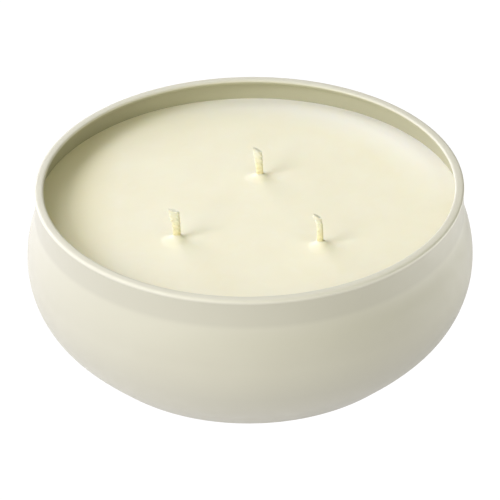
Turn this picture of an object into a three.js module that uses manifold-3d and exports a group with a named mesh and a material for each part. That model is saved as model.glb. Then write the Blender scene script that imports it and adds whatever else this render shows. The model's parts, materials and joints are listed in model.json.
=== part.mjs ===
// Three-wick candle in a wide, bulging, bowl-shaped tin.
// Millimetres, +Z up. The origin is the centre of the base, in the plane the tin stands on.
import * as THREE from 'three';
import { mergeVertices } from 'three/addons/utils/BufferGeometryUtils.js';
import Module from 'manifold-3d';

const manifold = await Module();
manifold.setup();

// ---- Driving dimensions ----

// Facets round the tin's axis. The wax has the same count, so the two stay parallel.
const TURNS = 60;
const SMALL_TURNS = 24;
// Vertices closer than this are one vertex.
const WELD = 1e-4;

// The most that a bend of the sheet stands off its straight facets.
const SAG = 0.045;

// The tin is one spun sheet. Its skin is a chain of straight runs and bends, from the middle of the base to
// the rim. A lean is the sheet's slope in degrees from upright, positive where the sheet spreads outwards.
const SHEET = 0.3;
const BASE = { recess: 1.2, panelRadius: 56.1, stepBend: 0.6, stepLean: 135, footWidth: 3.2 };
const FLANK = { cornerBend: 1, run: 6.7, lean: 45, lowBend: 75, lowLean: 39, highBend: 32 };
const SHOULDER = { bend: 40, lean: -20.5, creaseBend: 16 };
const NECK = { lean: -3.8, run: 8.2 };
// The rim flares a little, then curls inwards into a flattened hollow roll.
const RIM = { flareBend: 1, flareLean: 30, halfWidth: 1.62, halfHeight: 1.03, endAngle: 285 };

// The wax stops below the rim. It climbs the wall a little, and stands in a low mound round each wick.
const WAX = { level: 50.4, wallGap: 0.15, climb: 0.35, climbWidth: 1.6 };
const MOUND = { radius: 4.6, height: 0.9, sink: 0.5, steps: 5 };

// Each wick is a flat braid. It stands upright in the wax, leans over above it and ends in a slanted cut.
const WICK = { width: 2.8, thickness: 1.9, leanStart: 51.6, height: 9.8, slant: 0.9 };
const WICK_STEPS = { lean: 4, round: 6 };
const WICKS = [
  { name: 'left', x: -25, y: -21.3, tipX: -1.6, tipY: 0.5 },
  { name: 'right', x: 24.4, y: -26.1, tipX: -1.9, tipY: 0.8 },
  { name: 'rear', x: 4, y: 18.9, tipX: -1.5, tipY: 1.2 },
];

// Under each wick a foam sticker holds a tin-plate clip to the floor of the tin.
const STICKER = { radius: 9, thickness: 0.95 };
const CLIP = {
  radius: 10,
  plate: 0.25,
  boreRadius: 1.7,
  wall: 0.3,
  neck: 6,
  shoulder: { rise: 0.9, width: 1.4 },
  // The neck's depth from front to back after crimping, as a share of its width.
  crimp: 0.74,
};

// The plain label sits in the recess under the base.
const LABEL = { radius: 45, thickness: 0.12 };

// Pieces that rest on each other are REST apart. A pocket in the wax clears what it holds by CLEARANCE.
const REST = 0.05;
const CLEARANCE = 0.3;

const FLOOR = BASE.recess + SHEET;
const STICKER_BOTTOM = FLOOR + REST;
const CLIP_BOTTOM = STICKER_BOTTOM + STICKER.thickness + REST;
const PLATE_TOP = CLIP_BOTTOM + CLIP.plate;
const NECK_TOP = PLATE_TOP + CLIP.neck;
// The wick's foot hangs inside the clip's plate, clear of the sticker.
const WICK_BOTTOM = CLIP_BOTTOM + CLIP.plate - REST;
const WICK_TOP = WAX.level + WICK.height;

// ---- Materials ----

const PAINT = new THREE.MeshStandardMaterial({ color: 0xdcd9c8, roughness: 0.5, metalness: 0 });
const WAX_FINISH = new THREE.MeshStandardMaterial({ color: 0xf5f0d9, roughness: 0.45, metalness: 0 });
const COTTON = new THREE.MeshStandardMaterial({ color: 0xf1e8c4, roughness: 0.75, metalness: 0 });
const TIN_PLATE = new THREE.MeshStandardMaterial({ color: 0xc4c6c8, roughness: 0.35, metalness: 1 });
const FOAM = new THREE.MeshStandardMaterial({ color: 0xf4f4f2, roughness: 0.9, metalness: 0 });
const PAPER = new THREE.MeshStandardMaterial({ color: 0xf7f6f1, roughness: 0.8, metalness: 0 });

// ---- Sheet outline ----

const radians = THREE.MathUtils.degToRad;
const degrees = THREE.MathUtils.radToDeg;

// How many straight facets a bend needs to stay within SAG.
function facets(radius, turn) {
  const facetTurn = 2 * degrees(Math.acos(1 - SAG / radius));
  return Math.ceil(Math.abs(turn) / facetTurn);
}

// A walk along one skin of the sheet. Every point keeps the lean there, so that the other skin can be found.
class SkinPath {
  constructor(radius, height, lean) {
    this.points = [{ r: radius, z: height, lean }];
  }

  get end() {
    return this.points[this.points.length - 1];
  }

  run(length) {
    const { r, z, lean } = this.end;
    const angle = radians(lean);
    this.points.push({ r: r + length * Math.sin(angle), z: z + length * Math.cos(angle), lean });
  }

  bend(radius, toLean) {
    const start = this.end;
    const steps = facets(radius, toLean - start.lean);
    const side = Math.sign(toLean - start.lean);
    const from = radians(start.lean);
    for (let i = 1; i <= steps; i++) {
      const lean = start.lean + ((toLean - start.lean) * i) / steps;
      const angle = radians(lean);
      const r = start.r + side * radius * (Math.cos(from) - Math.cos(angle));
      const z = start.z + side * radius * (Math.sin(angle) - Math.sin(from));
      this.points.push({ r, z, lean });
    }
  }

  // An elliptical curl that starts in line with the last point and turns inwards to endAngle, in degrees.
  curl(halfWidth, halfHeight, endAngle) {
    const start = this.end;
    const startAngle = -Math.atan2(halfHeight * Math.tan(radians(start.lean)), halfWidth);
    const turn = endAngle - degrees(startAngle);
    const steps = facets((halfWidth + halfHeight) / 2, turn);
    const centreR = start.r - halfWidth * Math.cos(startAngle);
    const centreZ = start.z - halfHeight * Math.sin(startAngle);
    for (let i = 1; i <= steps; i++) {
      const angle = startAngle + (radians(turn) * i) / steps;
      const r = centreR + halfWidth * Math.cos(angle);
      const z = centreZ + halfHeight * Math.sin(angle);
      const outwardR = halfHeight * Math.cos(angle);
      const outwardZ = halfWidth * Math.sin(angle);
      this.points.push({ r, z, lean: degrees(Math.atan2(-outwardZ, outwardR)) });
    }
  }
}

// The points moved by a distance towards the inside of the bowl.
function inset(points, distance) {
  return points.map(({ r, z, lean }) => {
    const angle = radians(lean);
    return { r: Math.max(r - distance * Math.cos(angle), 0), z: z + distance * Math.sin(angle), lean };
  });
}

function buildSkin() {
  const skin = new SkinPath(0, BASE.recess, 90);
  skin.run(BASE.panelRadius);

  // The step down from the recessed panel to the foot, then the foot.
  const stepSlope = radians(BASE.stepLean - 90);
  const bendDrop = BASE.stepBend * (1 - Math.cos(stepSlope));
  skin.bend(BASE.stepBend, BASE.stepLean);
  skin.run((BASE.recess - 2 * bendDrop) / Math.sin(stepSlope));
  skin.bend(BASE.stepBend, 90);
  skin.run(BASE.footWidth);

  skin.bend(FLANK.cornerBend, FLANK.lean);
  skin.run(FLANK.run);
  skin.bend(FLANK.lowBend, FLANK.lowLean);
  skin.bend(FLANK.highBend, 0);
  skin.bend(SHOULDER.bend, SHOULDER.lean);
  skin.bend(SHOULDER.creaseBend, NECK.lean);
  skin.run(NECK.run);
  skin.bend(RIM.flareBend, RIM.flareLean);
  skin.curl(RIM.halfWidth, RIM.halfHeight, RIM.endAngle);
  return skin.points;
}

// ---- Geometry helpers ----

// A closed outline of { r, z } points turned round the Z axis.
function turned(outline, turns) {
  const geometry = new THREE.LatheGeometry(outline.map(({ r, z }) => new THREE.Vector2(r, z)), turns);
  geometry.rotateX(Math.PI / 2);
  return geometry;
}

function disc(radius, bottom, thickness, turns) {
  const top = bottom + thickness;
  const outline = [{ r: 0, z: bottom }, { r: radius, z: bottom }, { r: radius, z: top }, { r: 0, z: top }];
  return turned(outline, turns);
}

function toSolid(geometry) {
  const bare = geometry.clone();
  bare.deleteAttribute('normal');
  bare.deleteAttribute('uv');
  const merged = mergeVertices(bare, WELD);
  const mesh = new manifold.Mesh({
    numProp: 3,
    vertProperties: new Float32Array(merged.attributes.position.array),
    triVerts: new Uint32Array(merged.index.array),
  });
  return new manifold.Manifold(mesh);
}

function toGeometry(solid) {
  const mesh = solid.getMesh();
  const geometry = new THREE.BufferGeometry();
  geometry.setAttribute('position', new THREE.BufferAttribute(mesh.vertProperties, 3));
  geometry.setIndex(new THREE.BufferAttribute(mesh.triVerts, 1));
  geometry.computeVertexNormals();
  return geometry;
}

// A flat strip's section with round edges, as a shape.
function stripSection(width, thickness) {
  const edge = thickness / 2;
  const half = width / 2 - edge;
  const section = new THREE.Shape();
  section.absarc(half, 0, edge, -Math.PI / 2, Math.PI / 2, false);
  section.absarc(-half, 0, edge, Math.PI / 2, (3 * Math.PI) / 2, false);
  return section;
}

// ---- Pieces ----

// Both skins of the sheet, joined at the curl's cut edge and closed on the axis.
function tinBowl(skin) {
  return turned([...skin, ...inset(skin, SHEET).reverse()], TURNS);
}

// The wax follows the tin's inner skin to its edge, just above its level, and slopes down from there.
function waxBody(skin) {
  const wall = inset(skin, SHEET + WAX.wallGap);
  const edgeLevel = WAX.level + WAX.climb;
  const above = wall.findIndex(({ z }) => z > edgeLevel);
  const low = wall[above - 1];
  const high = wall[above];
  const share = (edgeLevel - low.z) / (high.z - low.z);
  const edgeRadius = THREE.MathUtils.lerp(low.r, high.r, share);
  return turned([
    ...wall.slice(0, above),
    { r: edgeRadius, z: edgeLevel },
    { r: edgeRadius - WAX.climbWidth / 2, z: WAX.level + WAX.climb / 4 },
    { r: edgeRadius - WAX.climbWidth, z: WAX.level },
    { r: 0, z: WAX.level },
  ], TURNS);
}

// A low dome, sunk a little into the wax so that the two join cleanly.
function waxMound() {
  const outline = [{ r: 0, z: -MOUND.sink }, { r: MOUND.radius, z: -MOUND.sink }];
  for (let i = 0; i <= MOUND.steps; i++) {
    const share = 1 - i / MOUND.steps;
    const rise = (1 + Math.cos(Math.PI * share)) / 2;
    outline.push({ r: MOUND.radius * share, z: MOUND.height * rise });
  }
  return turned(outline, SMALL_TURNS).translate(0, 0, WAX.level);
}

// Room in the wax for one sticker, clip and wick, open at the floor and at the top.
function waxPocket() {
  const plateRadius = CLIP.radius + CLEARANCE;
  const plateTop = PLATE_TOP + CLEARANCE;
  const shoulderRadius = CLIP.boreRadius + CLIP.wall + CLIP.shoulder.width + CLEARANCE;
  const shoulderTop = PLATE_TOP + CLIP.shoulder.rise + CLEARANCE;
  const neckRadius = CLIP.boreRadius + CLIP.wall + CLEARANCE;
  const neckTop = NECK_TOP + CLEARANCE;
  const below = turned([
    { r: 0, z: 0 },
    { r: plateRadius, z: 0 },
    { r: plateRadius, z: plateTop },
    { r: shoulderRadius, z: plateTop },
    { r: neckRadius, z: shoulderTop },
    { r: neckRadius, z: neckTop },
    { r: 0, z: neckTop },
  ], SMALL_TURNS);
  const section = stripSection(WICK.width + 2 * CLEARANCE, WICK.thickness + 2 * CLEARANCE);
  const depth = WICK.leanStart + MOUND.height - WICK_BOTTOM;
  const options = { depth, bevelEnabled: false, curveSegments: WICK_STEPS.round };
  const shaft = new THREE.ExtrudeGeometry(section, options);
  return toSolid(below).add(toSolid(shaft.translate(0, 0, WICK_BOTTOM)));
}

function waxFill(skin) {
  const mound = toSolid(waxMound());
  const pocket = waxPocket();
  let wax = toSolid(waxBody(skin));
  for (const { x, y } of WICKS) {
    wax = wax.add(mound.translate([x, y, 0]));
  }
  for (const { x, y } of WICKS) {
    wax = wax.subtract(pocket.translate([x, y, 0]));
  }
  return toGeometry(wax);
}

// The braid rises straight to leanStart, then bends over to its tip.
function wick({ tipX, tipY }) {
  const steps = 1 + WICK_STEPS.lean;
  const section = stripSection(WICK.width, WICK.thickness);
  const options = { depth: steps, steps, bevelEnabled: false, curveSegments: WICK_STEPS.round };
  const geometry = new THREE.ExtrudeGeometry(section, options);

  // Ring 0 is the foot, ring 1 is where the lean starts, and the others share the leaning part.
  const position = geometry.attributes.position;
  for (let i = 0; i < position.count; i++) {
    const ring = Math.round(position.getZ(i));
    const share = Math.max(0, ring - 1) / WICK_STEPS.lean;
    const level = ring === 0 ? WICK_BOTTOM : THREE.MathUtils.lerp(WICK.leanStart, WICK_TOP, share);
    const lean = (share + share * share) / 2;
    const x = position.getX(i);
    const cut = ring === steps ? (-WICK.slant * x) / WICK.width : 0;
    position.setXYZ(i, x + tipX * lean, position.getY(i) + tipY * lean, level + cut);
  }
  return geometry;
}

// A round plate that rises in a shoulder to a neck, crimped flat onto the braid.
function wickClip() {
  const bore = CLIP.boreRadius;
  const neck = bore + CLIP.wall;
  const foot = bore + CLIP.shoulder.width;
  const shoulderTop = PLATE_TOP + CLIP.shoulder.rise;
  const geometry = turned([
    { r: bore, z: shoulderTop },
    { r: foot, z: CLIP_BOTTOM },
    { r: CLIP.radius, z: CLIP_BOTTOM },
    { r: CLIP.radius, z: PLATE_TOP },
    { r: foot + CLIP.wall, z: PLATE_TOP },
    { r: neck, z: shoulderTop },
    { r: neck, z: NECK_TOP },
    { r: bore, z: NECK_TOP },
    { r: bore, z: shoulderTop },
  ], SMALL_TURNS);
  const position = geometry.attributes.position;
  for (let i = 0; i < position.count; i++) {
    const share = THREE.MathUtils.clamp((position.getZ(i) - PLATE_TOP) / CLIP.shoulder.rise, 0, 1);
    position.setY(i, position.getY(i) * THREE.MathUtils.lerp(1, CLIP.crimp, share));
  }
  return geometry;
}

// ---- Assembly ----

const group = new THREE.Group();

function addPiece(name, geometry, material, x = 0, y = 0) {
  const mesh = new THREE.Mesh(geometry, material.clone());
  mesh.name = name;
  mesh.position.set(x, y, 0);
  group.add(mesh);
}

const skin = buildSkin();
addPiece('tin_bowl', tinBowl(skin), PAINT);
addPiece('wax_fill', waxFill(skin), WAX_FINISH);
const labelBottom = BASE.recess - REST - LABEL.thickness;
addPiece('base_label', disc(LABEL.radius, labelBottom, LABEL.thickness, TURNS), PAPER);
for (const place of WICKS) {
  addPiece(`wick_${place.name}`, wick(place), COTTON, place.x, place.y);
  addPiece(`wick_clip_${place.name}`, wickClip(), TIN_PLATE, place.x, place.y);
  const sticker = disc(STICKER.radius, STICKER_BOTTOM, STICKER.thickness, SMALL_TURNS);
  addPiece(`wick_sticker_${place.name}`, sticker, FOAM, place.x, place.y);
}

export default group;
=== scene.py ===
"""The looks of the three-wick candle tin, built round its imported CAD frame. Blender 4.5.

Lengths are in millimetres, and mesh_piece() turns them into metres. Only the camera's distance and the
studio's lengths are in metres from the start. Angles are in degrees.
"""

import json
import math
import random

import bmesh
import bpy
import numpy as np
from mathutils import Matrix, Vector, noise

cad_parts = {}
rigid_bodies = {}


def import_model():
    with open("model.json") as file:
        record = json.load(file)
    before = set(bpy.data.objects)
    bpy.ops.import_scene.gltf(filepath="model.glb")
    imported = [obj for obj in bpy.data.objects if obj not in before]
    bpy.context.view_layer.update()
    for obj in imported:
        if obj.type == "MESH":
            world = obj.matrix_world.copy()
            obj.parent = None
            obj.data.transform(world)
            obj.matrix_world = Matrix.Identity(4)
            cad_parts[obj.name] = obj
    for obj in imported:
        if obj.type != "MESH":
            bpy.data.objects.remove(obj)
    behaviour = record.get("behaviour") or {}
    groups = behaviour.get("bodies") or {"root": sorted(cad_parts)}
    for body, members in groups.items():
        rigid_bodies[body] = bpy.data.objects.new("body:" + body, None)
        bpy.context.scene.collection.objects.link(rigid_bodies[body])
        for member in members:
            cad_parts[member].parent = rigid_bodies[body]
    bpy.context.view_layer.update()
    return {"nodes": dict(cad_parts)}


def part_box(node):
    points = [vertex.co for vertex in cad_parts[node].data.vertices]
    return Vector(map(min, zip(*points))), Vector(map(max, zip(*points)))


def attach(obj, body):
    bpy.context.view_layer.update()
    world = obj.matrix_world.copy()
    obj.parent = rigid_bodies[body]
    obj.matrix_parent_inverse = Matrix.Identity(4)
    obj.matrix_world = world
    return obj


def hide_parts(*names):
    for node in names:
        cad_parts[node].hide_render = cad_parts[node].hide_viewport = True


MM = 0.001
# Points closer than TOUCH are in the same place. Edges shorter than SLIVER come from rounding.
TOUCH = 0.01
SLIVER = 0.001
WICK_NAMES = ("left", "right", "rear")

# How finely the turned pieces are drawn: faces round the axis, then the largest turn in degrees and the
# largest length of a step along an outline. A turn sharper than CORNER_TURN is a real corner.
TIN_TURNS = 256
WAX_TURNS = 384
DISC_TURNS = 192
TURN_STEP = 6
LONGEST_STEP = 2.5
CORNER_TURN = 60

# The curled rim: the middle and half sizes of its bead, in (radius, height), and how square its top is.
BEAD = {"middle": (73.38, 58.65), "half": (1.62, 1.04), "power": 3.4}

# The height of the crease between the neck and the shoulder.
CREASE = 49.3
# Heights on the tin where its paint changes tone: from each first one to its second. These tones are painted
# light and shade: lighter on the shoulder and rim top, darker on the neck, lower body and inside. The foot is
# darker in patches.
PAINT_HEIGHTS = {
    "shoulder": (CREASE - 13, CREASE - 2),
    "neck": (CREASE - 0.9, CREASE + 0.9),
    "lower_body_shade": (33, 21),
    "rim_top_light": (57.9, 59.0),
    "inside": (59.2, 58.7),
    "foot": (0.35, 0.05),
}
# How far a surface is turned to the axis, from 0 to -1, for none and for all of the inside's painted shade.
FACING = (-0.4, -0.8)

# The wax keeps a gap to the tin, and its level top lies lower than the CAD's by sink. Its top has rings of
# faces, closer together at the wall that it climbs, and is uneven by a wave and a shorter ripple. Each of
# these follows its own plane of the noise.
WAX = {"gap": 0.01, "sink": 0.25, "ring": 0.5, "crowding": 1.15, "climb": 0.04, "climb_width": 0.5}
WAVE = {"height": 0.06, "length": 26, "plane": 3.7}
RIPPLE = {"height": 0.02, "length": 6.5, "plane": 9.1}
# Where the wax changes tone, from none to all of the change. Painted light makes it whiter near the wall and
# far along a way to the rear right, and painted shade makes it darker and yellower to the left.
REAR_WALL_LIGHT = {"radius": (55, 70), "way": (0.5, 0.85, 0), "along": (30, 66)}
LEFT_SHADE_X = (-46, -60)

# A low mound at each wick, off to one side of it and uneven by LOBES, which are (count, size) pairs. A collar
# of wax climbs the wick. The faces are finer within fine_reach, and past reach the mound has faded out.
MOUND = {"edge": 1.4, "collar": 1.2, "collar_width": 0.8, "fine_reach": 6.5, "reach": 19.5}
LOBES = ((2, 0.07), (3, 0.04))
MOUNDS = {
    "left": {"x": -1.1, "y": -1.5, "radius": 4.6, "height": 0.3},
    "right": {"x": 0.2, "y": -2.0, "radius": 4.6, "height": 0.28},
    "rear": {"x": -1.1, "y": -0.8, "radius": 4.4, "height": 0.22},
}
# The room in the wax for a sticker, clip and wick. It is tight on the wick, so no gap shows.
POCKET = {"clearance": 0.12, "turns": 48, "shaft": 0.93, "below": 1, "above": 2, "rise": 1}
POCKET_SHOULDER = 0.25

# Three strands plaited into a flat braid, spread and cut on a slant at the tip. The wax that soaks
# the braid fills it up to its core, so that the strands stand out only a little.
STRANDS = 3
BRAID = {"pitch": 5.4, "sides": 16, "step": 0.2, "strand": 0.56, "lean": 1.7, "spare": 2}
SOAK = {"voxel": 0.09, "smoothing": 4, "factor": 0.5}
CORE = {"wide": 0.93, "deep": 0.9, "sides": 32}
PLIES = {"count": 5, "depth": 0.05, "pitch": 3.1}
# The frayed fibres at the end of each strand. Each tuft's length is a share of the usual one, and it tapers.
TUFT = {"count": 4, "radius": 0.12, "length": 0.4, "spread": 0.3, "sides": 6, "sink": 0.3, "seed": 11}
TUFT_SHARES = (0.4, 1.1)
TUFT_SCATTER = (0.22, 0.18)
TUFT_RINGS = (0, 0.35, 0.7, 1)
TUFT_TAPER = {"loss": 0.75, "power": 1.5}
# How far the cut's two corners lie from the foot's axis and above the CAD wax, how wide the braid is as a
# share of the foot's width, and how far it has moved aside at the bend.
TIPS = {
    "left": {"left": -3.45, "high": 11.4, "right": 1.05, "low": 9.9, "wide": 1.0, "shift": -0.1},
    "right": {"left": -2.95, "high": 11.5, "right": 0.1, "low": 9.7, "wide": 0.82, "shift": -0.35},
    "rear": {"left": -3.0, "high": 11.3, "right": 0.7, "low": 9.3, "wide": 0.96, "shift": -0.2},
}

# Above the wax, from dry_from to dry_to below the tip, the wick turns from soaked to dry, at a ragged line.
DRYING = {"dry_from": 2.5, "dry_to": 1.5, "ragged": 1.2}

# A label or sticker has rings of vertices at these shares of its radius, and rounded edges.
DISC_RINGS = (0.25, 0.5, 0.75, 0.92)
DISC_BEND = 5
DISC_WAVES = 3
STICKER_EDGE = 0.35
LABEL = {"edge": 0.05, "crown": 0.03}

# The camera stands at a distance in metres and an elevation from a point on the axis, at the height aim.
# It looks a little below that point, by pitch, and is rolled a little.
CAMERA = {"distance": 0.96, "elevation": 31.506, "aim": 58.7, "pitch": 1.384, "roll": -0.708, "lens": 197.7}
SENSOR_WIDTH = 36
CLIP_RANGE = (0.05, 50)

# Square lamps, all LIGHT_DISTANCE metres from the middle of the rim. Azimuth is anticlockwise from +X,
# size is a side in metres, and blue is above 1 for cool light.
LIGHTS = {
    "key": {"azimuth": 206, "elevation": 35, "size": 0.5, "watts": 8.3, "blue": 1.16},
    "front_left": {"azimuth": 230, "elevation": 16, "size": 0.5, "watts": 6.4, "blue": 0.89},
    "rear_left_low": {"azimuth": 130, "elevation": 16, "size": 1.0, "watts": 8.7, "blue": 1.22},
    "rear_left_high": {"azimuth": 130, "elevation": 34, "size": 1.0, "watts": 3.8, "blue": 1.11},
    "window": {"azimuth": 155, "elevation": 52, "size": 0.7, "watts": 3.7, "blue": 1.07},
    "front_right": {"azimuth": 315, "elevation": 40, "size": 1.0, "watts": 4.4, "blue": 0.81},
    "front_right_low": {"azimuth": 315, "elevation": 10, "size": 1.0, "watts": 1.3, "blue": 0.99},
    "top": {"azimuth": 0, "elevation": 89, "size": 1.5, "watts": 4.7, "blue": 0.9},
}
LIGHT_DISTANCE = 1.4
WORLD_LIGHT = {"strength": 0.02, "blue": 0.9}
# A glowing disc on the floor to the right of the tin, as a bounce card is. Its place and size are in metres.
CARD = {"x": 0.33, "size": 0.4, "watts": 0.61}
# The floor's radius in metres, how pale it is to light, and the light that it gives off by itself.
FLOOR = {"radius": 8, "tone": 0.5, "turns": 64, "roughness": 0.9}
FLOOR_GLOW = {"strength": 0.585, "blue": 1.15}
# How bright the floor and the background are to the camera, which sees both as plain white.
SEEN_WHITE = 1.05


for leftover in list(bpy.data.objects):
    bpy.data.objects.remove(leftover)
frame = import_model()


# ---- Reading the frame ----


def cad_points(node):
    """The vertices of a CAD node, in millimetres."""
    return np.array([tuple(v.co) for v in frame["nodes"][node].data.vertices]) / MM


def frame_height(node):
    """The height of a CAD node's top, in millimetres."""
    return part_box(node)[1].z / MM


def half_outline(node):
    """(radius, height) points of a node turned round the tin's axis, in order from its underside up."""
    points = cad_points(node)
    key_of = {}
    for index, (x, y, z) in enumerate(points):
        if abs(y) < TOUCH and x > -TOUCH:
            key_of[index] = (round(x, 3), round(z, 3))
    near = {}
    for edge in frame["nodes"][node].data.edges:
        a, b = (key_of.get(i) for i in edge.vertices)
        if a and b and a != b:
            near.setdefault(a, set()).add(b)
            near.setdefault(b, set()).add(a)
    ends = [point for point, others in near.items() if len(others) == 1]
    chain = [min(ends, key=lambda point: point[1])]
    before = None
    while True:
        onward = near[chain[-1]] - {before}
        if not onward:
            return np.array(chain)
        before = chain[-1]
        chain.append(onward.pop())


class Wick:
    """Where a wick stands, read from its CAD node, and how its braid runs up to the slanted cut."""

    def __init__(self, name, level):
        points = cad_points(f"wick_{name}")
        foot = points[points[:, 2] < points[:, 2].min() + TOUCH]
        self.name = name
        self.foot = (foot.min(0) + foot.max(0)) / 2
        self.half = (foot.max(0) - foot.min(0)) / 2
        upright = points[np.abs(points[:, 0] - foot[:, 0].min()) < TOUCH]
        self.bend = upright[:, 2].max()
        tip = points[points[:, 2] > points[:, 2].max() - self.half[0]]
        self.tip_y = (tip[:, 1].min() + tip[:, 1].max()) / 2
        cut = TIPS[name]
        self.wide, self.shift = cut["wide"], cut["shift"]
        self.left, self.right = cut["left"], cut["right"]
        self.top = level + (cut["high"] + cut["low"]) / 2
        self.slope = (cut["low"] - cut["high"]) / (cut["right"] - cut["left"])

    def middle(self, z):
        """Centre of the braid at a height, and its half width there as a share of the foot's."""
        above = min(1, max(0, (z - self.bend) / (self.top - self.bend)))
        lean = above ** BRAID["lean"]
        shift = self.shift * min(1, max(0, (z - self.foot[2]) / (self.bend - self.foot[2])))
        x = shift + ((self.left + self.right) / 2 - shift) * lean
        y = (self.tip_y - self.foot[1]) * lean
        wider = self.wide + ((self.right - self.left) / 2 / self.half[0] - self.wide) * lean
        return self.foot[0] + x, self.foot[1] + y, wider

    def cut_height(self, x):
        """The height of the cut at a distance x to the right of the foot's axis."""
        return self.top + self.slope * (x - (self.left + self.right) / 2)


# ---- Outlines ----


def unit(vector):
    return vector / np.linalg.norm(vector)


def smoothed(points):
    """The outline drawn again through its points: round where the CAD has facets, sharp at its corners."""
    chords = np.diff(points, axis=0)
    units = chords / np.linalg.norm(chords, axis=1)[:, None]
    tangents = [None] * len(points)
    for i in range(1, len(points) - 1):
        if units[i - 1] @ units[i] > math.cos(math.radians(CORNER_TURN)):
            tangents[i] = unit(points[i + 1] - points[i - 1])
    drawn = []
    for i, along in enumerate(units):
        start, end = tangents[i], tangents[i + 1]
        # At a corner, the tangent mirrors the one at the step's other end, so the step is close to an arc.
        if start is None:
            start = along if end is None else 2 * (along @ end) * along - end
        if end is None:
            end = 2 * (along @ start) * along - start
        length = np.linalg.norm(chords[i])
        turn = math.degrees(math.acos(min(1, start @ end)))
        count = max(1, math.ceil(turn / TURN_STEP), math.ceil(length / LONGEST_STEP))
        for share in np.arange(count) / count:
            drawn.append(hermite(points[i], start * length, points[i + 1], end * length, share))
    return np.array(drawn + [points[-1]])


def hermite(a, a_slope, b, b_slope, share):
    """The point at a share of the way from a to b, on a curve with those slopes at its ends."""
    square, cube = share**2, share**3
    return (
        (2 * cube - 3 * square + 1) * a
        + (cube - 2 * square + share) * a_slope
        + (3 * square - 2 * cube) * b
        + (cube - square) * b_slope
    )


def offset_left(points, distance):
    """The outline moved sideways, to the left of the way it runs."""
    along = np.gradient(points, axis=0)
    along /= np.linalg.norm(along, axis=1)[:, None]
    return points + distance * np.stack([-along[:, 1], along[:, 0]], axis=1)


def spin(outline, turns):
    """Vertices and faces of an outline turned round the axis. Both its ends lie on the axis."""
    angles = np.arange(turns) * 2 * math.pi / turns
    radii, heights = outline[1:-1, 0], outline[1:-1, 1]
    rings = np.stack(
        [
            np.outer(radii, np.cos(angles)),
            np.outer(radii, np.sin(angles)),
            np.outer(heights, np.ones(turns)),
        ],
        axis=2,
    )
    bottom, top = len(radii) * turns, len(radii) * turns + 1
    vertices = np.vstack([rings.reshape(-1, 3), [0, 0, outline[0, 1]], [0, 0, outline[-1, 1]]])
    faces = []
    for j in range(turns):
        k = (j + 1) % turns
        faces.append((bottom, k, j))
        for ring in range(0, bottom - turns, turns):
            faces.append((ring + j, ring + k, ring + turns + k, ring + turns + j))
        faces.append((top, bottom - turns + j, bottom - turns + k))
    return vertices, faces


# ---- Making pieces ----


def tube(rings):
    """Vertices and faces of a closed tube through rings of equal size."""
    sides = len(rings[0])
    vertices = [point for ring in rings for point in ring]
    faces = [tuple(range(sides))[::-1], tuple(range(len(vertices) - sides, len(vertices)))]
    for start in range(0, len(vertices) - sides, sides):
        for j in range(sides):
            k = (j + 1) % sides
            faces.append((start + j, start + k, start + sides + k, start + sides + j))
    return vertices, faces


def mesh_piece(name, vertices, faces, sharp_angle=None):
    """A smooth-shaded mesh object from vertices in millimetres."""
    mesh = bpy.data.meshes.new(name)
    mesh.from_pydata((np.asarray(vertices) * MM).tolist(), [], faces)
    mesh.shade_smooth()
    if sharp_angle:
        mesh.set_sharp_from_angle(angle=math.radians(sharp_angle))
    piece = bpy.data.objects.new(name, mesh)
    bpy.context.scene.collection.objects.link(piece)
    return piece


def apply_modifiers(piece):
    """Turns the piece's modifiers into plain geometry."""
    bpy.context.view_layer.update()
    graph = bpy.context.evaluated_depsgraph_get()
    made = bpy.data.meshes.new_from_object(piece.evaluated_get(graph))
    piece.modifiers.clear()
    piece.data = made


def keep_largest_island(piece):
    """Drops the loose specks that a remesh leaves where a fibre is thinner than a voxel."""
    shape = bmesh.new()
    shape.from_mesh(piece.data)
    unseen = set(shape.verts)
    islands = []
    while unseen:
        front = [unseen.pop()]
        island = list(front)
        while front:
            vertex = front.pop()
            for edge in vertex.link_edges:
                other = edge.other_vert(vertex)
                if other in unseen:
                    unseen.remove(other)
                    island.append(other)
                    front.append(other)
        islands.append(island)
    islands.sort(key=len)
    loose = [vertex for island in islands[:-1] for vertex in island]
    bmesh.ops.delete(shape, geom=loose, context="VERTS")
    shape.to_mesh(piece.data)
    shape.free()


def close_slivers(piece):
    """Merges the ends of edges too short to be real, which a boolean cut leaves."""
    shape = bmesh.new()
    shape.from_mesh(piece.data)
    bmesh.ops.dissolve_degenerate(shape, dist=SLIVER * MM, edges=shape.edges[:])
    shape.to_mesh(piece.data)
    shape.free()


def stand_for(piece, node, material):
    """The piece takes the place of a CAD node, with the given finish."""
    piece.data.materials.clear()
    piece.data.materials.append(material)
    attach(piece, "root")
    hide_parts(node)


def flat_topped(outline):
    """The outline with the top of the rolled bead pressed flatter."""
    middle, half, power = np.array(BEAD["middle"]), np.array(BEAD["half"]), BEAD["power"]
    local = (outline - middle) / half
    upper = local[:, 1] > 0
    reach = np.linalg.norm(local[upper], axis=1)[:, None]
    ways = np.abs(local[upper] / reach)
    local[upper] *= (ways**power).sum(axis=1, keepdims=True) ** (-1 / power)
    return middle + local * half


def tin_piece(outline, material):
    vertices, faces = spin(outline, TIN_TURNS)
    tin = mesh_piece("tin_bowl_skin", vertices, faces, sharp_angle=CORNER_TURN)
    stand_for(tin, "tin_bowl", material)


# ---- Wax ----


def inner_skin(tin_outline, height):
    """The inside of the tin from the axis outwards and up to a height."""
    inside = tin_outline[::-1]
    above = int(np.argmax(inside[:, 1] > height))
    low, high = inside[above - 1], inside[above]
    share = (height - low[1]) / (high[1] - low[1])
    return np.vstack([inside[:above], low + share * (high - low)])


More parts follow.
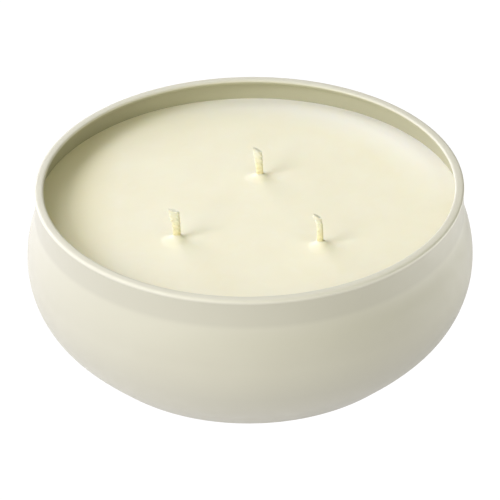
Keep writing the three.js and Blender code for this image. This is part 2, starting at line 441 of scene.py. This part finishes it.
def wax_outline(tin_outline, level):
    """Up the wall to the line where the wax meets it, then in across the top to the axis."""
    side = offset_left(inner_skin(tin_outline, level + WAX["climb"]), WAX["gap"])
    side[0, 0] = 0
    wall = side[-1, 0]
    count = round(wall / WAX["ring"])
    share = np.linspace(0, 1, count + 1)[1:]
    # The rings stand closer together at the wall, where the wax climbs it.
    radii = wall * (1 - share ** WAX["crowding"])
    top = np.stack([radii, np.full(count, level)], axis=1)
    top[-1, 0] = 0
    return np.vstack([side, top]), wall


def mound_height(x, y, wick):
    """The low mound of wax at a wick, with the collar that climbs its braid."""
    place = MOUNDS[wick.name]
    dx, dy = x - wick.foot[0], y - wick.foot[1]
    way = math.atan2(dy - place["y"], dx - place["x"])
    phase = WICK_NAMES.index(wick.name)
    lobes = [size * math.sin(count * way + (count - 1) * phase) for count, size in LOBES]
    radius = place["radius"] * (1 + lobes[0] + lobes[1])
    far = min(1, math.hypot(dx - place["x"], dy - place["y"]) / radius)
    mound = place["height"] * (1 - far**2) ** MOUND["edge"]
    # Distance from the braid's oval, measured as a share of its half sizes.
    around = math.hypot(dx / wick.half[0], dy / wick.half[1])
    gap = max(0, (around - 1) * wick.half[1])
    return mound + MOUND["collar"] * math.exp(-gap / MOUND["collar_width"])


def wax_height(x, y, level, wall, wicks):
    """The height of the wax's top: level, uneven by a few hundredths, climbing the wall and the wicks."""
    z = level + WAX["climb"] * math.exp((math.hypot(x, y) - wall) / WAX["climb_width"])
    for layer in (WAVE, RIPPLE):
        z += layer["height"] * noise.noise(Vector((x, y, layer["plane"])) / layer["length"])
    for wick in wicks:
        if math.hypot(x - wick.foot[0], y - wick.foot[1]) < MOUND["reach"]:
            z += mound_height(x, y, wick)
    return z


def refine_top(wax, level, wicks):
    """Splits the faces of the wax's top near each wick, for the mound and the collar."""
    shape = bmesh.new()
    shape.from_mesh(wax.data)
    for reach in (MOUND["fine_reach"], MOUND["fine_reach"] / 2):
        near = []
        for edge in shape.edges:
            middle = (edge.verts[0].co + edge.verts[1].co) / 2 / MM
            if middle.z < level - TOUCH:
                continue
            spans = [math.hypot(middle.x - wick.foot[0], middle.y - wick.foot[1]) for wick in wicks]
            if min(spans) < reach:
                near.append(edge)
        bmesh.ops.subdivide_edges(shape, edges=near, cuts=1, use_grid_fill=True)
    bmesh.ops.triangulate(shape, faces=[f for f in shape.faces if len(f.verts) > 4])
    shape.to_mesh(wax.data)
    shape.free()


def pocket(wick):
    """A closed cutter with the room that a sticker, clip and wick take up in the wax."""
    name, centre, half = wick.name, wick.foot, wick.half
    clear = POCKET["clearance"]
    sticker = cad_points(f"wick_sticker_{name}")
    clip = cad_points(f"wick_clip_{name}") - [centre[0], centre[1], 0]
    neck = clip[clip[:, 2] > clip[:, 2].max() - TOUCH]
    plate_top = clip[np.abs(np.hypot(clip[:, 0], clip[:, 1]) - clip[:, 0].max()) < TOUCH][:, 2].max()
    plate = clip[:, 0].max() + clear
    neck_half = neck[:, 0].max() + clear, neck[:, 1].max() + clear
    shoulder = neck_half[0] + (plate - neck_half[0]) * POCKET_SHOULDER
    top = frame_height("wax_fill") + MOUND["collar"] + POCKET["above"]
    sections = [
        (sticker[:, 2].min() - POCKET["below"], plate, plate),
        (plate_top + clear, plate, plate),
        (plate_top + clear, shoulder, shoulder),
        (plate_top + POCKET["rise"] + clear, *neck_half),
        (neck[0, 2] + clear, *neck_half),
        (neck[0, 2] + clear, half[0] * POCKET["shaft"], half[1] * POCKET["shaft"]),
        (top, half[0] * POCKET["shaft"], half[1] * POCKET["shaft"]),
    ]
    angles = np.arange(POCKET["turns"]) * 2 * math.pi / POCKET["turns"]
    rings = [
        [(centre[0] + wide * math.cos(a), centre[1] + deep * math.sin(a), z) for a in angles]
        for z, wide, deep in sections
    ]
    return mesh_piece(f"pocket_{name}", *tube(rings))


def wax_piece(tin_outline, level, wicks, material):
    outline, wall = wax_outline(tin_outline, level)
    vertices, faces = spin(outline, WAX_TURNS)
    wax = mesh_piece("wax_fill_body", vertices, faces)
    refine_top(wax, level, wicks)
    for vertex in wax.data.vertices:
        x, y, z = vertex.co / MM
        if z > level - TOUCH:
            vertex.co.z = wax_height(x, y, level, wall, wicks) * MM
    for wick in wicks:
        cutter = pocket(wick)
        cut = wax.modifiers.new("pocket", "BOOLEAN")
        cut.object = cutter
        cut.solver = "MANIFOLD"
        apply_modifiers(wax)
        bpy.data.objects.remove(cutter)
    close_slivers(wax)
    wax.data.shade_smooth()
    wax.data.set_sharp_from_angle(angle=math.radians(CORNER_TURN))
    stand_for(wax, "wax_fill", material)


# ---- Wicks ----


def braid_core(wick):
    """The wax-filled middle of the braid, with the slanted cut as its flat top."""
    low, high = wick.foot[2], wick.top
    rings = []
    for z in np.linspace(low, high, math.ceil((high - low) / BRAID["step"])):
        cx, cy, wider = wick.middle(z)
        ring = []
        for side in range(CORE["sides"]):
            angle = 2 * math.pi * side / CORE["sides"]
            x = wick.half[0] * CORE["wide"] * wider * math.cos(angle)
            y = wick.half[1] * CORE["deep"] * math.sin(angle)
            # Above the bend, the rings tilt little by little until the last one lies in the cut.
            tilt = max(0, (z - wick.bend) / (high - wick.bend))
            ring.append((cx + x, cy + y, z + tilt * wick.slope * x))
        rings.append(ring)
    return rings


def strand(k, wick):
    """One of the strands: it weaves from side to side, and its own plies twist round it."""
    low = wick.foot[2]
    radius = wick.half[1] * BRAID["strand"]
    swing, depth = wick.half[0] - radius, wick.half[1] - radius
    rings = []
    for step in range(math.ceil((wick.top + BRAID["spare"] - low) / BRAID["step"])):
        z = low + step * BRAID["step"]
        way = 2 * math.pi * ((z - low) / BRAID["pitch"] + k / STRANDS)
        cx, cy, wider = wick.middle(z)
        x, y = swing * wider * math.sin(way), depth * math.sin(2 * way)
        if z > wick.cut_height(cx + x - wick.foot[0]):
            break
        ring = []
        for side in range(BRAID["sides"]):
            angle = 2 * math.pi * side / BRAID["sides"]
            ply = math.cos(PLIES["count"] * angle - 2 * math.pi * z / PLIES["pitch"])
            size = radius * (1 + PLIES["depth"] * ply)
            ring.append((cx + x + size * wider * math.cos(angle), cy + y + size * math.sin(angle), z))
        rings.append(ring)
    return rings


def tuft(rng, base):
    """A few fibres that stand out of the cut end together."""
    lean = Vector((rng.gauss(0, TUFT["spread"]), rng.gauss(0, TUFT["spread"]), 1)).normalized()
    length = TUFT["sink"] + TUFT["length"] * rng.uniform(*TUFT_SHARES)
    rings = []
    for share in TUFT_RINGS:
        size = TUFT["radius"] * (1 - TUFT_TAPER["loss"] * share ** TUFT_TAPER["power"])
        centre = base + lean * length * share
        ring = []
        for side in range(TUFT["sides"]):
            angle = 2 * math.pi * side / TUFT["sides"]
            ring.append((centre.x + size * math.cos(angle), centre.y + size * math.sin(angle), centre.z))
        rings.append(ring)
    return rings


def wick_piece(wick, material):
    rng = random.Random(WICK_NAMES.index(wick.name) + TUFT["seed"])
    tubes = [braid_core(wick)] + [strand(k, wick) for k in range(STRANDS)]
    for rings in tubes[1:]:
        end = np.mean(rings[-1], axis=0)
        for _ in range(TUFT["count"]):
            scatter = np.array([*[rng.gauss(0, spread) for spread in TUFT_SCATTER], -TUFT["sink"]])
            tubes.append(tuft(rng, Vector(end + scatter)))
    vertices, faces = [], []
    for rings in tubes:
        points, sides = tube(rings)
        faces += [tuple(i + len(vertices) for i in face) for face in sides]
        vertices += points
    piece = mesh_piece(f"wick_{wick.name}_braid", vertices, faces)
    skin = piece.modifiers.new("skin", "REMESH")
    skin.mode = "VOXEL"
    skin.voxel_size = SOAK["voxel"] * MM
    soak = piece.modifiers.new("soak", "SMOOTH")
    soak.factor = SOAK["factor"]
    soak.iterations = SOAK["smoothing"]
    apply_modifiers(piece)
    keep_largest_island(piece)
    piece.data.shade_smooth()
    stand_for(piece, f"wick_{wick.name}", material)


# ---- Label and stickers ----


def soft_disc(name, node, edge, crown, material):
    """A thin disc with rounded edges and a face that isn't quite flat."""
    low, high = (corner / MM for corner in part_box(node))
    radius, thick = (high.x - low.x) / 2, high.z - low.z
    edge = min(edge, thick / 2 - TOUCH / 2)
    outline = [(0, 0)]
    outline += [(radius * share, 0) for share in DISC_RINGS]
    for angle in np.radians(np.linspace(-90, 0, DISC_BEND)):
        outline.append((radius - edge + edge * math.cos(angle), edge + edge * math.sin(angle)))
    for angle in np.radians(np.linspace(0, 90, DISC_BEND)):
        outline.append((radius - edge + edge * math.cos(angle), thick - edge + edge * math.sin(angle)))
    outline += [(radius * share, thick) for share in DISC_RINGS[::-1]]
    outline.append((0, thick))
    vertices, faces = spin(np.array(outline), DISC_TURNS)
    for vertex in vertices:
        # Both faces rise and fall together, so the thickness stays the same.
        place = Vector((vertex[0], vertex[1], 0)) * DISC_WAVES / radius
        vertex[2] += crown * (noise.noise(place) - 0.5) / 2
    vertices += [(low.x + high.x) / 2, (low.y + high.y) / 2, low.z]
    piece = mesh_piece(name, vertices, faces, sharp_angle=CORNER_TURN)
    stand_for(piece, node, material)


# ---- Materials ----


class Finish:
    """A node-built material. Its patterns follow object coordinates, with their sizes in millimetres."""

    def __init__(self, name):
        self.material = bpy.data.materials.new(name)
        self.material.use_nodes = True
        self.tree = self.material.node_tree
        self.surface = self.tree.nodes["Principled BSDF"]
        self.place = self.node("ShaderNodeTexCoord").outputs["Object"]

    def node(self, kind, **settings):
        node = self.tree.nodes.new(kind)
        for key, value in settings.items():
            setattr(node, key, value)
        return node

    def feed(self, socket, value):
        """Links an output to a socket, or sets the socket's own value."""
        if isinstance(value, bpy.types.NodeSocket):
            self.tree.links.new(value, socket)
        else:
            socket.default_value = value

    def set(self, **inputs):
        for key, value in inputs.items():
            self.feed(self.surface.inputs[key.replace("_", " ")], value)

    def noise(self, size, detail=2.0, stretch=(1, 1, 1), place=None):
        """Noise with features of a size in millimetres, longer along an axis with a larger stretch."""
        scaled = self.node("ShaderNodeMapping")
        self.feed(scaled.inputs["Vector"], place or self.place)
        scaled.inputs["Scale"].default_value = [1 / (size * MM * s) for s in stretch]
        texture = self.node("ShaderNodeTexNoise")
        texture.inputs["Scale"].default_value = 1
        texture.inputs["Detail"].default_value = detail
        self.feed(texture.inputs["Vector"], scaled.outputs["Vector"])
        return texture.outputs["Fac"]

    def span(self, value, low, high, start=0.0, end=1.0):
        """Maps value from low..high to start..end, held at both ends."""
        node = self.node("ShaderNodeMapRange")
        self.feed(node.inputs["Value"], value)
        for key, number in zip(("From Min", "From Max", "To Min", "To Max"), (low, high, start, end)):
            node.inputs[key].default_value = number
        return node.outputs["Result"]

    def mix(self, share, a, b):
        node = self.node("ShaderNodeMix", data_type="RGBA")
        self.feed(node.inputs["Factor"], share)
        for socket, colour in ((node.inputs[6], a), (node.inputs[7], b)):
            self.feed(socket, colour if isinstance(colour, bpy.types.NodeSocket) else (*colour, 1))
        return node.outputs[2]

    def math(self, operation, a, b=0.0):
        node = self.node("ShaderNodeMath", operation=operation)
        self.feed(node.inputs[0], a)
        self.feed(node.inputs[1], b)
        return node.outputs[0]

    def bump(self, *layers):
        """Relief from (height socket, depth in millimetres) layers."""
        normal = None
        for height, depth in layers:
            node = self.node("ShaderNodeBump")
            node.inputs["Distance"].default_value = depth * MM
            self.feed(node.inputs["Height"], height)
            if normal:
                self.feed(node.inputs["Normal"], normal)
            normal = node.outputs["Normal"]
        self.feed(self.surface.inputs["Normal"], normal)

    def axis(self, letter):
        """One coordinate of the place, in metres."""
        axes = self.node("ShaderNodeSeparateXYZ")
        self.feed(axes.inputs[0], self.place)
        return axes.outputs[letter]

    def height(self):
        """Height above the floor, in millimetres."""
        return self.math("DIVIDE", self.axis("Z"), MM)

    def flat_place(self):
        """The place moved straight down to the floor."""
        flat = self.node("ShaderNodeVectorMath", operation="MULTIPLY")
        self.feed(flat.inputs[0], self.place)
        flat.inputs[1].default_value = (1, 1, 0)
        return flat.outputs[0]

    def dot(self, a, b):
        """The dot product of two vectors."""
        node = self.node("ShaderNodeVectorMath", operation="DOT_PRODUCT")
        self.feed(node.inputs[0], a)
        self.feed(node.inputs[1], b)
        return node.outputs["Value"]

    def faces_axis(self):
        """1 where the surface faces the tin's axis, as the inside of its wall does, and 0 elsewhere."""
        outward = self.node("ShaderNodeVectorMath", operation="NORMALIZE")
        self.feed(outward.inputs[0], self.flat_place())
        normal = self.node("ShaderNodeTexCoord").outputs["Normal"]
        return self.span(self.dot(outward.outputs[0], normal), *FACING)

    def radius(self):
        """Distance from the tin's axis, in metres."""
        length = self.node("ShaderNodeVectorMath", operation="LENGTH")
        self.feed(length.inputs[0], self.flat_place())
        return length.outputs["Value"]

    def turned_place(self):
        """(distance from the axis, 0, height), which is the same all the way round."""
        joined = self.node("ShaderNodeCombineXYZ")
        self.feed(joined.inputs["X"], self.radius())
        self.feed(joined.inputs["Z"], self.axis("Z"))
        return joined.outputs[0]


def tin_paint():
    """Matt powder paint: orange peel and faint rings, with painted light and shade in its tones and a foot
    darker in patches.
    """
    paint = Finish("tin_paint_cream")
    cloud = paint.noise(38, 3)
    speck = paint.noise(0.35, 2)
    colour = paint.mix(paint.span(cloud, 0.35, 0.65), (0.556, 0.532, 0.415), (0.573, 0.551, 0.433))
    colour = paint.mix(paint.span(speck, 0.62, 0.72, 0, 0.25), colour, (0.518, 0.494, 0.38))
    height = paint.height()
    zones = {name: paint.span(height, *heights) for name, heights in PAINT_HEIGHTS.items()}
    # Painted light and shade: the shoulder is a little paler than the neck, as light falls on the crease, and
    # the lower body is darker with painted shade.
    colour = paint.mix(zones["shoulder"], colour, (0.6, 0.578, 0.455))
    colour = paint.mix(zones["neck"], colour, (0.547, 0.526, 0.413))
    colour = paint.mix(zones["lower_body_shade"], colour, (0.512, 0.492, 0.387))
    # Painted light: the top of the rolled rim is lighter.
    colour = paint.mix(zones["rim_top_light"], colour, (0.735, 0.71, 0.574))
    # Painted shade: where the wall faces the axis, below the top of the rim, it is darker and yellower.
    inside = paint.math("MULTIPLY", paint.faces_axis(), zones["inside"])
    colour = paint.mix(inside, colour, (0.478, 0.462, 0.315))
    # Darker in patches at the very bottom edge.
    foot_patches = paint.math("MULTIPLY", zones["foot"], paint.span(paint.noise(1.6, 4), 0.5, 0.62))
    colour = paint.mix(foot_patches, colour, (0.42, 0.41, 0.38))
    paint.set(Base_Color=colour, IOR=1.46)
    paint.set(Roughness=paint.span(paint.noise(5, 3), 0.3, 0.7, 0.43, 0.53))
    rings = paint.noise(2.4, 2, place=paint.turned_place())
    paint.bump((rings, 0.012), (paint.noise(0.9, 2), 0.012), (speck, 0.006))
    return paint.material


def wax_finish():
    """Poured wax: light passes a little way in, with frosting that shows as faint, cloudy mottling."""
    wax = Finish("wax_cream")
    cloud = wax.noise(17, 4)
    frost = wax.noise(3.2, 5)
    colour = wax.mix(wax.span(cloud, 0.3, 0.7), (0.935, 0.882, 0.655), (0.955, 0.908, 0.695))
    colour = wax.mix(wax.span(frost, 0.55, 0.75, 0, 0.35), colour, (0.96, 0.925, 0.735))
    # Painted light: near the wall to the rear and right the wax is whiter.
    wall_light_reach = wax.span(wax.radius(), *[edge * MM for edge in REAR_WALL_LIGHT["radius"]])
    along = wax.span(wax.dot(wax.place, [part / MM for part in REAR_WALL_LIGHT["way"]]), *REAR_WALL_LIGHT["along"])
    colour = wax.mix(wax.math("MULTIPLY", along, wall_light_reach), colour, (0.97, 0.95, 0.86))
    # Painted shade: to the left the wax is darker and yellower.
    clear = wax.span(wax.axis("X"), *[edge * MM for edge in LEFT_SHADE_X])
    colour = wax.mix(clear, colour, (0.885, 0.832, 0.565))
    wax.set(Base_Color=colour, IOR=1.44, Subsurface_Weight=0.25, Subsurface_Scale=1.2 * MM)
    wax.surface.inputs["Subsurface Radius"].default_value = (1.0, 0.8, 0.5)
    wax.set(Roughness=wax.span(frost, 0.3, 0.7, 0.42, 0.56))
    wax.bump((wax.noise(6, 3), 0.02), (wax.noise(0.5, 2), 0.004))
    return wax.material


def cotton_finish(level, top):
    """Bleached cotton: yellow and clear where it is soaked, near white and furry at the dry tip."""
    cotton = Finish("wick_cotton_waxed")
    height = cotton.height()
    uneven = cotton.span(cotton.noise(1.1, 3), 0, 1, -DRYING["ragged"], DRYING["ragged"])
    ragged = cotton.math("ADD", height, uneven)
    dry = cotton.span(ragged, level + DRYING["dry_from"], top - DRYING["dry_to"])
    fibre = cotton.noise(0.16, 3, stretch=(1, 1, 5))
    soaked = cotton.mix(cotton.span(fibre, 0.35, 0.7), (0.88, 0.8, 0.47), (0.92, 0.856, 0.56))
    bleached = cotton.mix(cotton.span(fibre, 0.35, 0.7), (0.945, 0.92, 0.72), (0.97, 0.952, 0.78))
    cotton.set(Base_Color=cotton.mix(dry, soaked, bleached), IOR=1.45)
    cotton.set(Roughness=cotton.span(dry, 0, 1, 0.6, 0.9), Specular_IOR_Level=0.15)
    cotton.set(Subsurface_Weight=0.35, Subsurface_Scale=0.4 * MM)
    cotton.surface.inputs["Subsurface Radius"].default_value = (1.0, 0.9, 0.7)
    cotton.bump((fibre, 0.03), (cotton.noise(0.08, 2), 0.008))
    return cotton.material


def tin_plate():
    """Bright tin-plate with fine rolling lines and a dull film of wax."""
    plate = Finish("clip_tin_plate")
    lines = plate.noise(0.12, 3, stretch=(30, 1, 1))
    film = plate.noise(2.5, 3)
    plate.set(Metallic=1.0)
    plate.set(Base_Color=plate.mix(plate.span(film, 0.35, 0.65), (0.7, 0.71, 0.72), (0.78, 0.78, 0.76)))
    plate.set(Roughness=plate.span(film, 0.3, 0.7, 0.22, 0.4))
    plate.bump((lines, 0.004), (film, 0.01))
    return plate.material


def sticker_foam():
    """White closed-cell foam."""
    foam = Finish("sticker_foam_white")
    cells = foam.node("ShaderNodeTexVoronoi")
    cells.inputs["Scale"].default_value = 1 / (0.3 * MM)
    foam.feed(cells.inputs["Vector"], foam.place)
    pores = foam.span(cells.outputs["Distance"], 0, 0.6)
    foam.set(Base_Color=foam.mix(pores, (0.78, 0.78, 0.76), (0.92, 0.92, 0.9)), Roughness=0.9)
    foam.bump((pores, 0.05))
    return foam.material


def label_paper():
    """Uncoated paper without print: long pale fibres over faint cloudiness."""
    paper = Finish("label_paper_plain")
    fibre = paper.noise(0.25, 4, stretch=(5, 1, 1))
    cloud = paper.noise(7, 4)
    colour = paper.mix(paper.span(cloud, 0.3, 0.7), (0.87, 0.86, 0.81), (0.92, 0.91, 0.87))
    colour = paper.mix(paper.span(fibre, 0.6, 0.75, 0, 0.5), colour, (0.8, 0.78, 0.72))
    paper.set(Base_Color=colour, Roughness=paper.span(cloud, 0.3, 0.7, 0.78, 0.9))
    paper.bump((fibre, 0.02), (cloud, 0.03))
    return paper.material


# ---- Studio ----


def tint(blue):
    """A light colour with its blue raised or lowered against red and green."""
    return (1 / max(1, blue), 1 / max(1, blue), min(1, blue))


def lamp(name, shape, size, watts, blue):
    light = bpy.data.lights.new(name, "AREA")
    light.shape = shape
    light.size = size
    light.energy = watts * max(1, blue)
    light.color = tint(blue)
    holder = bpy.data.objects.new(name, light)
    holder.visible_camera = False
    bpy.context.scene.collection.objects.link(holder)
    return holder


def softbox(name, azimuth, elevation, size, watts, blue):
    """A square lamp at a distance from the rim's middle, turned towards it."""
    box = lamp(name, "SQUARE", size, watts, blue)
    a, e = math.radians(azimuth), math.radians(elevation)
    away = Vector((math.cos(a) * math.cos(e), math.sin(a) * math.cos(e), math.sin(e)))
    box.location = away * LIGHT_DISTANCE + Vector((0, 0, CAMERA["aim"] * MM))
    box.rotation_euler = away.to_track_quat("Z", "Y").to_euler()


def bounce_card():
    card = lamp("bounce_card", "DISK", CARD["size"], CARD["watts"], 1)
    card.location = (CARD["x"], 0, MM)
    card.rotation_euler = (math.pi, 0, 0)


def seen_and_lit(tree, seen, lit, output):
    """The camera sees one shader, and every other ray meets the other."""
    path = tree.nodes.new("ShaderNodeLightPath")
    chooser = tree.nodes.new("ShaderNodeMixShader")
    tree.links.new(path.outputs["Is Camera Ray"], chooser.inputs[0])
    tree.links.new(lit.outputs[0], chooser.inputs[1])
    tree.links.new(seen.outputs[0], chooser.inputs[2])
    tree.links.new(chooser.outputs[0], output)


def white_world():
    world = bpy.data.worlds.new("studio")
    world.use_nodes = True
    tree = world.node_tree
    lit = tree.nodes["Background"]
    lit.inputs["Color"].default_value = (1, 1, WORLD_LIGHT["blue"], 1)
    lit.inputs["Strength"].default_value = WORLD_LIGHT["strength"]
    seen = tree.nodes.new("ShaderNodeBackground")
    seen.inputs["Color"].default_value = (1, 1, 1, 1)
    seen.inputs["Strength"].default_value = SEEN_WHITE
    seen_and_lit(tree, seen, lit, tree.nodes["World Output"].inputs["Surface"])
    bpy.context.scene.world = world


def white_floor():
    """A floor that bounces light as pale paper does, and that the camera sees as plain white."""
    turns = FLOOR["turns"]
    ring = [(math.cos(2 * math.pi * i / turns), math.sin(2 * math.pi * i / turns), 0) for i in range(turns)]
    floor = mesh_piece("floor", np.array(ring) * FLOOR["radius"] / MM, [tuple(range(turns))])
    material = bpy.data.materials.new("floor_white")
    material.use_nodes = True
    tree = material.node_tree
    lit = tree.nodes["Principled BSDF"]
    lit.inputs["Base Color"].default_value = (*[FLOOR["tone"]] * 3, 1)
    lit.inputs["Roughness"].default_value = FLOOR["roughness"]
    lit.inputs["Emission Color"].default_value = (*tint(FLOOR_GLOW["blue"]), 1)
    lit.inputs["Emission Strength"].default_value = FLOOR_GLOW["strength"] * FLOOR_GLOW["blue"]
    seen = tree.nodes.new("ShaderNodeEmission")
    seen.inputs["Strength"].default_value = SEEN_WHITE
    seen_and_lit(tree, seen, lit, tree.nodes["Material Output"].inputs["Surface"])
    floor.data.materials.append(material)


def aim_camera():
    camera = bpy.data.objects.new("camera", bpy.data.cameras.new("camera"))
    bpy.context.scene.collection.objects.link(camera)
    bpy.context.scene.camera = camera
    camera.data.sensor_width = SENSOR_WIDTH
    camera.data.lens = CAMERA["lens"]
    camera.data.clip_start, camera.data.clip_end = CLIP_RANGE
    down, roll = math.radians(CAMERA["elevation"]), math.radians(CAMERA["roll"])
    aim = Vector((0, 0, CAMERA["aim"] * MM))
    camera.location = aim + Vector((0, -math.cos(down), math.sin(down))) * CAMERA["distance"]
    look = down + math.radians(CAMERA["pitch"])
    forward = Vector((0, math.cos(look), -math.sin(look)))
    level_right = Vector((1, 0, 0))
    level_up = level_right.cross(forward)
    right = level_right * math.cos(roll) + level_up * math.sin(roll)
    up = level_up * math.cos(roll) - level_right * math.sin(roll)
    turn = Matrix((right, up, -forward)).transposed()
    camera.rotation_euler = turn.to_euler()


# ---- The scene ----

tin_outline = flat_topped(smoothed(half_outline("tin_bowl")))
tin_outline[:, 1] = np.maximum(tin_outline[:, 1], 0)
wax_top = half_outline("wax_fill")[-1, 1]
level = wax_top - WAX["sink"]
wicks = [Wick(name, wax_top) for name in WICK_NAMES]

tin_piece(tin_outline, tin_paint())
wax_piece(tin_outline, level, wicks, wax_finish())
cotton = cotton_finish(level, frame_height("wick_left"))
foam, plate = sticker_foam(), tin_plate()
for wick in wicks:
    wick_piece(wick, cotton)
    sticker = f"wick_sticker_{wick.name}"
    soft_disc(f"{sticker}_foam", sticker, STICKER_EDGE, 0.0, foam)
    clip = frame["nodes"][f"wick_clip_{wick.name}"]
    clip.data.materials.clear()
    clip.data.materials.append(plate)
soft_disc("base_label_paper", "base_label", LABEL["edge"], LABEL["crown"], label_paper())

white_world()
white_floor()
for light_name, settings in LIGHTS.items():
    softbox(light_name, **settings)
bounce_card()
aim_camera()
bpy.context.scene.view_settings.view_transform = "Standard"
